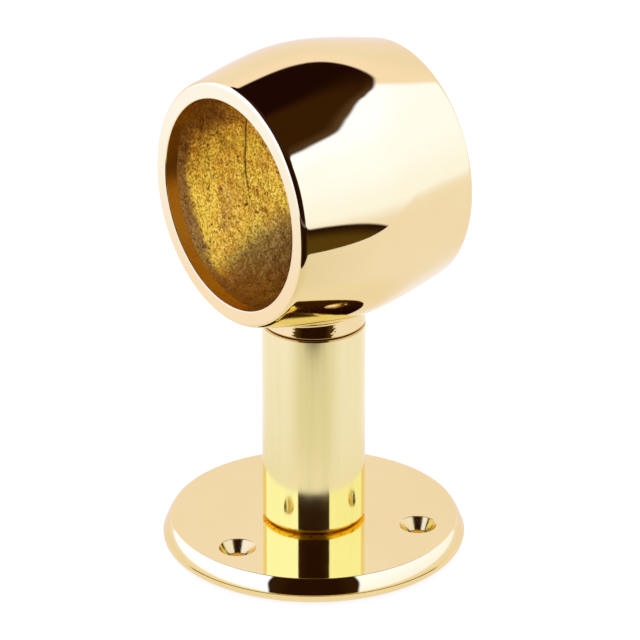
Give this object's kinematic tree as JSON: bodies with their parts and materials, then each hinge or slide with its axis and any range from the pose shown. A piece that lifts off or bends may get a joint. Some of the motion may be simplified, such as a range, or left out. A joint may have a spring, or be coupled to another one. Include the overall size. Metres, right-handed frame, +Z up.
{
  "type": "rail stanchion",
  "caption": "Polished brass rail stanchion: round foot flange with countersunk holes, satin post tube and a barrel-shaped ring head that takes a tubular rail.",
  "frame": {"origin": "centre of the foot flange's underside, on the axis of the post", "axes": "+Z up the post; X along the rail that passes through the ring head; Y across it"},
  "size_m": [0.075, 0.075, 0.1298],
  "materials": {
    "polished_brass": "mirror polished and lacquered",
    "satin_brass": "satin, fine lengthwise brushing",
    "fastener_steel": "plain stainless"
  },
  "bodies": {
    "base": {"base_flange": "polished_brass", "post_tube": "satin_brass", "plain_washer": "fastener_steel", "spring_washer": "fastener_steel"},
    "head": {"rail_head": "polished_brass", "tie_rod": "fastener_steel"},
    "nut": {"tie_nut": "fastener_steel"},
    "set_screw": {"rail_set_screw": "fastener_steel"}
  },
  "joints": [
    {"name": "head_swivel", "type": "hinge", "parent": "base", "child": "head", "pos_m": [0, 0, 0.059], "axis": [0, 0, 1], "continuous": true},
    {"name": "nut_turn", "type": "hinge", "parent": "head", "child": "nut", "pos_m": [0, 0, 0.0055], "axis": [0, 0, 1], "continuous": true},
    {"name": "set_screw_travel", "type": "slide", "parent": "head", "child": "set_screw", "axis": [0, 0, 1], "range_m": [0, 0.002]}
  ]
}
